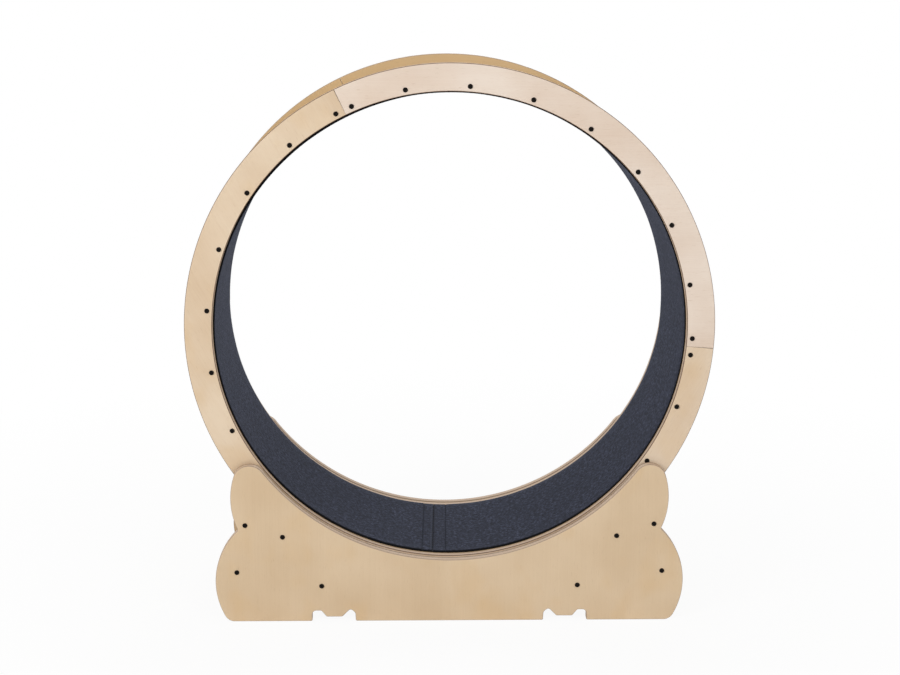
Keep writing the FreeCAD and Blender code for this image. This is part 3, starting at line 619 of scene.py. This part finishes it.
SLAT_NODES = [f"slat_{number:02d}" for number in range(1, 22)]
SLAT_LONG, SLAT_THICK = 2 * RING_INSIDE, 18 * MM
for name, wide, each, first, nodes in (
        ("slats", 50 * MM, 7, 1, SLAT_NODES),
        ("joint_slats", 90 * MM, 1, 0, [f"joint_slat_{number}" for number in (1, 2, 3)])):
    pattern = board(name + "_pattern", (SLAT_THICK, SLAT_LONG, wide), 1.5 * MM)
    piece = around.grow(name, each_third=each, first=first, low=0.0, high=SEGMENT,
                        radius=SLAT_CIRCLE, y=0.0, turn=0.0, roll=0.0, part=pattern,
                        material=SLAT_WOOD)
    bpy.data.objects.remove(pattern)
    settle(smooth(piece), "wheel", "slat_wood", nodes)

# %% [markdown]
# A screw here is a low round head with a hexagon socket, on a plain shank. It
# is a stack of rings with the same number of corners. A ring is a circle or a
# hexagon, so the socket's six walls grow out of the round head with no seam.

# %% Turned parts: stacks of rings about the Y axis
def ring_points(kind, radius, count):
    """Corners of a circle, or of a hexagon whose flats are radius from its centre."""
    for i in range(count):
        turn = 2 * math.pi * i / count
        if kind == "hex":
            flat = (turn + math.pi / 6) % (math.pi / 3) - math.pi / 6
            yield turn, radius / math.cos(flat)
        else:
            yield turn, radius


def turned(name, stack, count=24, centre=(0, 0, 0), closed=False):
    """A part from a stack of (kind, y, radius) rings; closed joins last to first.

    The stack runs so that the outside is on the left of its way: from the head's
    top outwards. A radius of 0 is the middle of a closed end.
    """
    points, loops, faces = [], [], []
    for kind, y, radius in stack:
        if radius == 0:
            loops.append([len(points)] * count)
            points.append((centre[0], centre[1] + y, centre[2]))
            continue
        loops.append(list(range(len(points), len(points) + count)))
        for turn, reach in ring_points(kind, radius, count):
            points.append((centre[0] + reach * math.cos(turn), centre[1] + y,
                           centre[2] + reach * math.sin(turn)))
    pairs = list(zip(loops, loops[1:])) + ([(loops[-1], loops[0])] if closed else [])
    for near, far in pairs:
        for i in range(count):
            j = (i + 1) % count
            corners = list(dict.fromkeys((near[i], far[i], far[j], near[j])))
            faces.append(corners)
    mesh = bpy.data.meshes.new(name)
    mesh.from_pydata(points, [], faces)
    mesh.validate()
    return link(name, mesh)


def outward(piece):
    """Turn every face outwards."""
    shape = bmesh.new()
    shape.from_mesh(piece.data)
    bmesh.ops.remove_doubles(shape, verts=shape.verts, dist=1e-7)
    bmesh.ops.recalc_face_normals(shape, faces=shape.faces)
    shape.to_mesh(piece.data)
    shape.free()
    return piece


def scaled_stack(rows):
    return [(kind, y * MM, radius * MM) for kind, y, radius in rows]


HEAD = [("hex", -1.1, 0), ("hex", -1.1, 2.0), ("hex", -2.45, 2.05), ("round", -2.5, 2.7),
        ("round", -2.35, 3.7), ("round", -1.9, 4.6), ("round", -1.2, 5.25),
        ("round", -0.5, 5.5), ("round", 0, 5.5)]
SCREW = HEAD + [("round", 0, 3), ("round", 46, 3), ("round", 50, 0.4), ("round", 50, 0)]
SCREW_INSET = math.radians(2)
screw = outward(turned("screw_pattern", scaled_stack(SCREW)))
for side, sign in SIDES.items():
    piece = around.grow(f"{side}_ring_screw_set", each_third=9, first=0, low=SCREW_INSET,
                        high=SEGMENT - SCREW_INSET, radius=SLAT_CIRCLE,
                        y=sign * RING_FACE, turn=math.pi * (sign > 0), roll=1.0,
                        part=screw, material=BLACK_OXIDE)
    settle(smooth(piece), "wheel", "black_screw", [f"{side}_ring_screws"])

# %% [markdown]
# Other hardware comes in small groups at places that no rule gives: six
# screws in a base panel, four bolts, nuts and washers at the rollers. The
# places are the points of a small mesh, and each point's turn is an attribute.

# %% The tree for parts at given places
at_places = Grower("parts_at_places", part="object", material="material")
turn = at_places.node("GeometryNodeInputNamedAttribute", {"data_type": "FLOAT"},
                      {"Name": "turn"})
roll = at_places.node("GeometryNodeInputNamedAttribute", {"data_type": "FLOAT"},
                      {"Name": "roll"})
at_places.end(at_places.node("GeometryNodeInstanceOnPoints", {}, {
    "Points": at_places.node("GeometryNodeMeshToPoints", {}, {
        "Mesh": at_places["Geometry"]}),
    "Instance": at_places.node("GeometryNodeObjectInfo", {}, {
        "Object": at_places["part"]}, output="Geometry"),
    "Rotation": at_places.node("ShaderNodeCombineXYZ", {}, {1: roll, 2: turn})}))


def set_out(name, places, part, material):
    """Copies of a part at (x, y, z) places; those at the rear face backwards."""
    mesh = bpy.data.meshes.new(name)
    mesh.from_pydata(places, [], [])
    for key in ("turn", "roll"):
        mesh.attributes.new(key, "FLOAT", "POINT")
    for i, place in enumerate(places):
        mesh.attributes["turn"].data[i].value = math.pi * (place[1] > 0)
        mesh.attributes["roll"].data[i].value = 0.9 * i
    return at_places.grow(name, mesh, part=part, material=material)


BASE_SCREWS = ((452.5, 224.0), (472.4, 115.0), (284.5, 82.4))
for side, sign in SIDES.items():
    places = [(hand * x * MM, sign * PANEL_FACE, z * MM)
              for hand in HANDS.values() for x, z in BASE_SCREWS]
    piece = set_out(f"{side}_base_screw_set", places, screw, BLACK_OXIDE)
    settle(smooth(piece), "base", "black_screw", [f"{side}_base_screws"])
bpy.data.objects.remove(screw)

# %% [markdown]
# ROLLERS
#
# Each roller is a nylon tyre with a groove that the ring runs in, pressed over
# a ball bearing. The bearing turns on a bolt: the bolt comes through the
# panel, then a washer stack, the bearing's inner race and a lock nut.

# %% Tyres and outer races, which turn
TYRE = [(-10.5, 9.5), (-10.5, 19.0), (-10.1, 19.7), (-9.4, 20.0), (-8.9, 19.9),
        (-8.45, 19.3), (-8.0, 15.4), (-7.6, 14.6), (-6.8, 14.2), (6.8, 14.2), (7.6, 14.6),
        (8.0, 15.4), (8.45, 19.3), (8.9, 19.9), (9.4, 20.0), (10.1, 19.7), (10.5, 19.0),
        (10.5, 9.5)]
SEAL_FACE = 2.4
RACE = [(-3, 8.2), (-3, 9.3), (-2.8, 9.5), (2.8, 9.5), (3, 9.3), (3, 8.2), (2.4, 8.1),
        (2.4, 6.5), (2.2, 6.3), (-2.2, 6.3), (-2.4, 6.5), (-2.4, 8.1)]
for side, sign in SIDES.items():
    for hand, way in HANDS.items():
        body = f"roller_{side}_{hand}"
        centre = (way * ROLLER_X, sign * ROLLER_Y, ROLLER_Z)
        for part, profile, slot, *finishes in (
                ("tyre", TYRE, "nylon", NYLON),
                ("outer_race", RACE, "bearing_steel", STEEL, SEAL)):
            stack = scaled_stack([("round", y, radius) for y, radius in profile])
            piece = outward(turned(f"{body}_{part}_round", stack, 64, centre, True))
            piece = smooth(piece, 50)
            settle(piece, body, slot, [f"{body}_{part}"], *finishes)
            if SEAL in finishes:
                for face in piece.data.polygons:
                    depth = abs(face.center.y - centre[1])
                    if abs(depth - SEAL_FACE * MM) < 0.15 * MM:
                        face.material_index = finishes.index(SEAL)

# %% Inner races, washer stacks, nuts and bolts, which stand still
INNER = [("round", -3, 3.1), ("round", -3, 6.0), ("round", -2.8, 6.2), ("round", 2.8, 6.2),
         ("round", 3, 6.0), ("round", 3, 3.1)]
WASHER, WASHER_COUNT = 1.5, 7
WASHERS = [("round", 0, 3.1)]
for washer in range(WASHER_COUNT):
    low, high = WASHER * washer, WASHER * (washer + 1)
    WASHERS += [("round", low, 4.75), ("round", low + 0.2, 5), ("round", high - 0.2, 5),
                ("round", high, 4.75)]
WASHERS += [("round", WASHER * WASHER_COUNT, 3.1)]
NUT = [("round", 0, 3.05), ("round", 0, 4.6), ("hex", 0.35, 5), ("hex", 3.4, 5),
       ("round", 3.9, 4.7), ("round", 5, 4.2), ("round", 5, 3.05)]
BOLT = HEAD + [("round", 0, 3), ("round", 40.6, 3), ("round", 41, 2.6), ("round", 41, 0)]
HARDWARE = (
    ("roller_inner_races", INNER, ROLLER_Y, "bearing_steel", STEEL, True),
    ("roller_axle_spacers", WASHERS, PANEL_INSIDE, "bearing_steel", ZINC, True),
    ("roller_axle_nuts", NUT, ROLLER_Y - 3 * MM, "bearing_steel", ZINC, True),
    ("roller_axle_bolts", BOLT, PANEL_FACE, "black_screw", BLACK_OXIDE, False))
for name, stack, reach, slot, finish, closed in HARDWARE:
    part = outward(turned(name + "_pattern", scaled_stack(stack), closed=closed))
    places = [(way * ROLLER_X, sign * reach, ROLLER_Z)
              for sign in SIDES.values() for way in HANDS.values()]
    piece = set_out(name + "_detailed", places, part, finish)
    bpy.data.objects.remove(part)
    settle(smooth(piece), "base", slot, [name])

# %% [markdown]
# BASE PANELS
#
# A base panel is one sheet with two lobes on each side, an arch that follows
# the ring's inner edge, and two feet cut-outs. Its outline is a list of arcs
# and straight lines with rounded corners. Because the outline has no sharp
# corner, the router's round-over is the same outline moved inwards by the
# cutter's quarter circle.

# %% The outline of a base panel
def arc_points(centre, radius, first, last, step=1.5):
    """Points of an arc from one angle to another, in degrees, at most step apart."""
    count = max(2, round(abs(last - first) / step))
    turns = [math.radians(first + (last - first) * i / count) for i in range(count + 1)]
    return [(centre[0] + radius * math.cos(turn), centre[1] + radius * math.sin(turn))
            for turn in turns]


def crossing(first, first_radius, second, second_radius):
    """The right-hand crossing of two circles."""
    first, second = Vector(first), Vector(second)
    gap = second - first
    reach = (first_radius ** 2 - second_radius ** 2 + gap.length ** 2) / 2 / gap.length
    off = math.sqrt(first_radius ** 2 - reach ** 2)
    way = gap.normalized()
    return max((first + way * reach + Vector((way.y, -way.x)) * side
                for side in (off, -off)), key=lambda point: point.x)


def heading(start, end):
    return math.degrees(math.atan2(end[1] - start[1], end[0] - start[0]))


def eased(corners):
    """A chain of straight lines whose (x, z, radius) corners are rounded."""
    points = []
    for before, here, after in zip(corners, corners[1:], corners[2:]):
        middle = Vector(here[:2])
        back = (Vector(before[:2]) - middle).normalized()
        ahead = (Vector(after[:2]) - middle).normalized()
        half = back.angle(ahead) / 2
        reach = here[2] / math.tan(half)
        centre = middle + (back + ahead).normalized() * here[2] / math.sin(half)
        start, end = middle + back * reach, middle + ahead * reach
        first, last = heading(centre, start), heading(centre, end)
        last = first + (last - first + 180) % 360 - 180
        points += arc_points(centre, here[2], first, last, 12)
    return points


# In mm: the radii of the arch, a lobe's tip, the foot and the notch between lobes,
# then each lobe's centre and radius, and a cut-out's corners.
ARCH, TIP, FOOT, NOTCH = 520, 36, 24, 5
LOWER, LOWER_LOBE = (353.985, 92.039), 166
UPPER, UPPER_LOBE = (311.985, 284.039), 172
CENTRE = (0, 662)
CUTOUT = [(0, 0, 0), (209, 0, 3), (210, 19, 9), (221, 28.3, 6), (239, 10, 6),
          (274, 10, 5), (286, 24.3, 5), (306, 24.3, 9), (306, 0, 3), (330, 0, 0)]


def half_outline():
    """The right half, from the middle of the floor edge to the bottom of the arch."""
    foot = Vector((LOWER[0] + math.sqrt((LOWER_LOBE - FOOT) ** 2
                                        - (LOWER[1] - FOOT) ** 2), FOOT))
    notch = crossing(LOWER, LOWER_LOBE + NOTCH, UPPER, UPPER_LOBE + NOTCH)
    tip = crossing(UPPER, UPPER_LOBE - TIP, CENTRE, ARCH + TIP)
    leave_foot = heading(LOWER, foot)
    to_notch, from_notch = heading(LOWER, notch), heading(UPPER, notch)
    tip_turn = heading(UPPER, tip)
    arch_turn = heading(tip, CENTRE)
    points = [(0, 0)] + eased(CUTOUT)
    points += arc_points(foot, FOOT, -90, leave_foot, 4)
    points += arc_points(LOWER, LOWER_LOBE, leave_foot, to_notch)[1:]
    points += arc_points(notch, NOTCH, to_notch + 180, from_notch + 180, 10)[1:]
    points += arc_points(UPPER, UPPER_LOBE, from_notch, tip_turn)[1:]
    points += arc_points(tip, TIP, tip_turn, arch_turn, 3)[1:]
    points += arc_points(CENTRE, ARCH, heading(CENTRE, tip), -90, 0.8)[1:]
    return points


half = half_outline()
outline = np.array(half + [(-x, z) for x, z in half[-2:0:-1]]) * MM
print("outline of", len(outline), "points, reaching", outline.max(axis=0).round(4))

# %% Two base panels with a round-over
ROUND_OVER = 2.2 * MM


def unit(rows):
    return rows / np.linalg.norm(rows, axis=1)[:, None]


def inwards(points):
    """The unit vector into the sheet at every point of a counterclockwise outline."""
    ahead = unit(np.roll(points, -1, axis=0) - points)
    way = unit(ahead + np.roll(ahead, 1, axis=0))
    return np.c_[-way[:, 1], way[:, 0]]


def lofted(name, rings):
    """A piece whose skin joins rings of equally many points, closed at both ends."""
    count = len(rings[0])
    last = (len(rings) - 1) * count
    faces = [tuple(range(count)), tuple(range(last + count - 1, last - 1, -1))]
    for base in range(0, last, count):
        for i in range(count):
            j = (i + 1) % count
            faces.append((base + j, base + i, base + count + i, base + count + j))
    mesh = bpy.data.meshes.new(name)
    mesh.from_pydata(np.concatenate(rings).tolist(), [], faces)
    return link(name, mesh)


def panel(name, near, far):
    """A sheet between two depths, near the front one, with both edges rounded over."""
    into, rings = inwards(outline), []
    quarter = [math.radians(22.5 * i) for i in range(5)]
    for depth, way, turns in ((near, 1, quarter), (far, -1, quarter[::-1])):
        for turn in turns:
            y = depth + way * ROUND_OVER * (1 - math.cos(turn))
            flat = outline + into * (ROUND_OVER * (1 - math.sin(turn)))
            rings.append(np.c_[flat[:, 0], np.full(len(flat), y), flat[:, 1]])
    return lofted(name, rings)


for side, sign in SIDES.items():
    near, far = sorted((sign * PANEL_INSIDE, sign * PANEL_FACE))
    piece = smooth(outward(panel(f"{side}_base_panel_rounded", near, far)))
    settle(piece, "base", "birch_plywood", [f"{side}_base_panel"], PANEL_BIRCH)

# %% [markdown]
# Two boards and two square rails hold the panels apart. They are the same
# eased board as a slat. An end board leans along the line of its two screws.

# %% End boards and lower rails
(HIGH_X, HIGH_Z), (LOW_X, LOW_Z), RAIL = BASE_SCREWS
BEAM_LONG = 2 * PANEL_INSIDE
BEAMS = (("end_board", (18, 150), ((HIGH_X + LOW_X) / 2, (HIGH_Z + LOW_Z) / 2),
          math.atan2(LOW_X - HIGH_X, HIGH_Z - LOW_Z)),
         ("lower_rail", (40, 40), RAIL, 0))
for hand, way in HANDS.items():
    for name, (wide, tall), (x, z), lean in BEAMS:
        piece = board(f"{name}_{hand}_eased", (wide * MM, BEAM_LONG, tall * MM), 1.5 * MM)
        place = Matrix.Rotation(-way * lean, 4, "Y")
        place.translation = (way * x * MM, 0, z * MM)
        piece.data.transform(place)
        settle(smooth(piece), "base", "birch_plywood", [f"{name}_{hand}"], SLAT_WOOD)

# %% [markdown]
# THE CARPET
#
# The running carpet is one strip of felt, 314 mm wide and about 3.25 m long,
# laid inside the rings. Its ends meet in a seam a little left of the lowest
# point, and a flattened hem runs beside the seam on each side. The strip is
# lofted: a thin section with soft corners is repeated round the circle, with
# close steps at the seam and wide ones elsewhere. Its cut edges wander by up to
# 1.6 mm, as a strip cut with a knife does, and stand off the track in places.

# %% The carpet's sizes, in mm
SEAM, SEAM_GAP, SKEW = math.radians(266.4), 0.1, 9 / 300
FELT_IN, FELT_OUT, FELT_WIDE = 515.0, 519.0, 157.0
FELT_MIDDLE = (FELT_IN + FELT_OUT) / 2
AROUND = 2 * math.pi * FELT_MIDDLE
START_HEM, END_HEM, HEM_DEEP, HEM_WIDE, HEM_PRESSED = 29.0, 24.0, 1.7, 1.1, 0.45
END_DEEP, END_FADE = 2.6, 1.0
CREASE_SHADE_FADE, FUZZ_FROM, FUZZ_TO = 1.6, 3, 5
RECESS, RECESS_LONG, RECESS_FADE = 2.4, 48, 12
LIFT_WIDE, NAP = 26, 0.18
# The cut edges at the front, -1, and the rear, 1: how far each wanders with which
# seed, and how far it stands off the track at which degrees round the wheel.
WANDER = {-1: (1.2, 1), 1: (1.6, 2)}
LIFT = {-1: ((-180, -0.5), (-150, -0.3), (-128, 0.9), (-90, 1.1), (-62, 0.4), (-40, -1.2),
             (0, -1.6), (60, -0.9), (90, -0.5), (100, -0.2), (113, 1.5), (125, 2.2),
             (140, 1.8), (158, 0.6), (180, -0.5)),
        1: ((-180, -0.5), (-140, -1.6), (-100, -2.2), (-55, -2.6), (-9, -2.9), (-4, -0.8),
            (6, 0), (180, 0))}


# %% Loft the carpet
def stations():
    """Distances from the seam, close together at the seam and the hems."""
    near = [SEAM_GAP / 2 + step for step in (0, 0.4, 0.9, 1.6, 2.6, 4, 6.5, 10, 14, 18)]
    steps = (-3.5, -1.6, -0.8, -0.3, 0.3, 0.8, 1.6, 3.5, 7)
    start = near + [START_HEM + step for step in steps]
    end = [AROUND - END_HEM - step for step in reversed(steps)]
    end += [AROUND - step for step in reversed(near)]
    middle = np.linspace(start[-1], end[0], 620)[1:-1]
    return start + list(middle) + end


def wander(length, seed):
    """A slow uneven wave between 0 and 1 along the strip."""
    waves = sum(math.sin(length / reach + seed * 1.7 + i) for i, reach in
                enumerate((210.0, 67.0, 31.0, 12.5)))
    return 0.5 + waves / 8


def lift(length, side):
    """How far the felt's edge stands off the track at a distance from the seam."""
    turn = math.degrees(SEAM) + 360 * length / AROUND
    return np.interp((turn + 180) % 360 - 180, *zip(*LIFT[side]))


def section_points():
    """(place across, 0 at the back to 1 on top, corner inset) round the section."""
    soft = [(0.0, 0.15), (0.35, 0.0), (0.7, 0.12), (0.9, 0.45), (1.0, 1.1)]
    left = [(-1, height, inset) for height, inset in soft]
    right = [(1, height, inset) for height, inset in reversed(soft)]
    top = [(part, 1.0, 0.0) for part in np.linspace(-1, 1, 41)[1:-1]]
    back = [(part, 0.0, 0.0) for part in np.linspace(1, -1, 9)[1:-1]]
    return left + top + right + back


def carpet_rings(section):
    """The section's points at each station, and what felt needs to know about each."""
    rings, marks = [], {"crease": [], "fuzz": []}
    for length in stations():
        gap = min(length, AROUND - length)
        hem_at = START_HEM if length < AROUND / 2 else END_HEM
        hem = HEM_DEEP * math.exp(-((gap - hem_at) / HEM_WIDE) ** 2)
        end = END_DEEP * math.exp(-(gap - SEAM_GAP / 2) / END_FADE)
        press = HEM_PRESSED * (gap < hem_at)
        # Painted shade in the seam's butt and in the hems' creases.
        crease = min(1, 0.4 * hem + 1.6 * math.exp(-gap / CREASE_SHADE_FADE))
        marks["crease"] += [crease] * len(section)
        marks["fuzz"] += [float(FUZZ_FROM < AROUND - length < FUZZ_TO)] * len(section)
        edge = {side: FELT_WIDE - reach * wander(length, seed)
                for side, (reach, seed) in WANDER.items()}
        if length < RECESS_LONG:
            edge[1] -= RECESS * min(1, (RECESS_LONG - length) / RECESS_FADE)
        lifts = {side: lift(length, side) for side in LIFT}
        ring = []
        for part, height, inset in section:
            y = part * (edge[1 if part > 0 else -1] - inset)
            near = max(0, 1 - (FELT_WIDE - abs(y)) / LIFT_WIDE) ** 2
            nap = NAP * math.sin(length * 0.9 + y * 0.7) * math.sin(length * 0.37 - y * 1.1)
            thick = (FELT_OUT - FELT_IN) - (hem + end + press if height > 0.5 else 0)
            thick += near * lifts[1 if y > 0 else -1] + nap * (height > 0.95)
            radius = FELT_OUT - height * thick
            turn = SEAM + (length + y * SKEW) / FELT_MIDDLE
            ring.append((radius * math.cos(turn) * MM, y * MM,
                         radius * math.sin(turn) * MM + AXLE.z))
        rings.append(ring)
    return rings, marks


rings, marks = carpet_rings(section_points())
carpet = lofted("running_carpet_felt", rings)
for key, values in marks.items():
    carpet.data.attributes.new(key, "FLOAT", "POINT").data.foreach_set("value", values)
outward(carpet)
carpet.data.shade_smooth()
carpet.data.set_sharp_from_angle(angle=math.radians(60))
settle(carpet, "wheel", "carpet", ["running_carpet"], FELT)
print("carpet cut:", round(2 * FELT_WIDE), "x", round(AROUND), "mm")

# %% [markdown]
# FLOOR, WORLD AND LIGHT
#
# A plain studio: a pale world all round, a wide soft lamp above the camera and
# a weaker one on each side. Camera rays see white where nothing is hit. The
# floor is mostly white to the camera too, and keeps a faint soft shadow.

# %% Floor and world
def seen_directly(tree):
    """1 for camera, glossy and transmission rays, and 0 for the light's own rays."""
    ray = tree.node("ShaderNodeLightPath", output="Is Camera Ray")
    direct = tree.math("MAXIMUM", ray, ray.out("Is Glossy Ray"))
    return tree.math("MAXIMUM", direct, ray.out("Is Transmission Ray"))


world = bpy.data.worlds.new("studio")
world.use_nodes = True
bpy.context.scene.world = world
sky = Tree(world.node_tree)
world.node_tree.nodes.clear()
WORLD_LIGHT = 0.5
around_us = sky.node("ShaderNodeBackground", {}, {"Color": rgb(255, 255, 255),
                                                  "Strength": WORLD_LIGHT})
white = sky.node("ShaderNodeBackground", {}, {"Color": (1, 1, 1, 1), "Strength": 1.0})
mixed = sky.node("ShaderNodeMixShader", {}, {0: seen_directly(sky), 1: around_us, 2: white})
sky.feed(sky.node_tree.nodes.new("ShaderNodeOutputWorld").inputs["Surface"], mixed)

floor_finish = Finish("studio_floor", Roughness=0.9, Specular_IOR_Level=0.1)
grain = floor_finish.noise(floor_finish.place(), scale=3, detail=2)
floor_finish.colour(floor_finish.mix(grain, rgb(236, 236, 236), rgb(240, 240, 240)))
reach = floor_finish.vector("LENGTH", floor_finish.place(), output="Value")
far = floor_finish.ramp(reach / 4, (0.16, 0.93), (0.5, 1))
glow = floor_finish.node("ShaderNodeEmission", {}, {"Color": (1, 1, 1, 1), "Strength": 1.0})
floor_mix = floor_finish.node("ShaderNodeMixShader", {}, {
    0: far * seen_directly(floor_finish), 2: glow})
floor_finish.node_tree.links.new(floor_finish.shader.outputs[0],
                                 floor_mix.socket.node.inputs[1])
floor_finish.feed(floor_finish.node_tree.nodes["Material Output"].inputs["Surface"],
                  floor_mix)
FLOOR = 12
floor_mesh = bpy.data.meshes.new("floor")
floor_mesh.from_pydata([(-FLOOR, -FLOOR, 0), (FLOOR, -FLOOR, 0), (FLOOR, FLOOR, 0),
                        (-FLOOR, FLOOR, 0)], [], [(0, 1, 2, 3)])
floor_mesh.materials.append(floor_finish.material)
floor = link("floor", floor_mesh)
floor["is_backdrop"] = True


# %% Soft lamps
def soft_lamp(name, place, aim, size, watts):
    lamp_data = bpy.data.lights.new(name, "AREA")
    lamp_data.shape, lamp_data.size, lamp_data.energy = "DISK", size, watts
    lamp = bpy.data.objects.new(name, lamp_data)
    lamp.location = place
    lamp.rotation_euler = (Vector(aim) - Vector(place)).to_track_quat("-Z", "Y").to_euler()
    bpy.context.scene.collection.objects.link(lamp)


soft_lamp("key", (-3.0, -2.9, 2.3), (0, 0, 0.6), 2.2, 70)
soft_lamp("fill", (2.4, -3.6, 1.9), (0, 0, 0.6), 2.2, 37)
soft_lamp("back", (0.3, 3.2, 2.8), (0, 0, 0.7), 2.4, 40)
bpy.context.scene.view_settings.view_transform = "Standard"
print("lamps:", [light.name for light in bpy.data.lights])

# %% [markdown]
# The last cell gathers the imported model's box and the dressed model's box,
# so that the two can be compared.

# %% The sizes of both boxes
def plain(box):
    return [[float(part) for part in corner] for corner in box]


{"cad": plain(CAD_BOX), "visual": plain(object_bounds())}
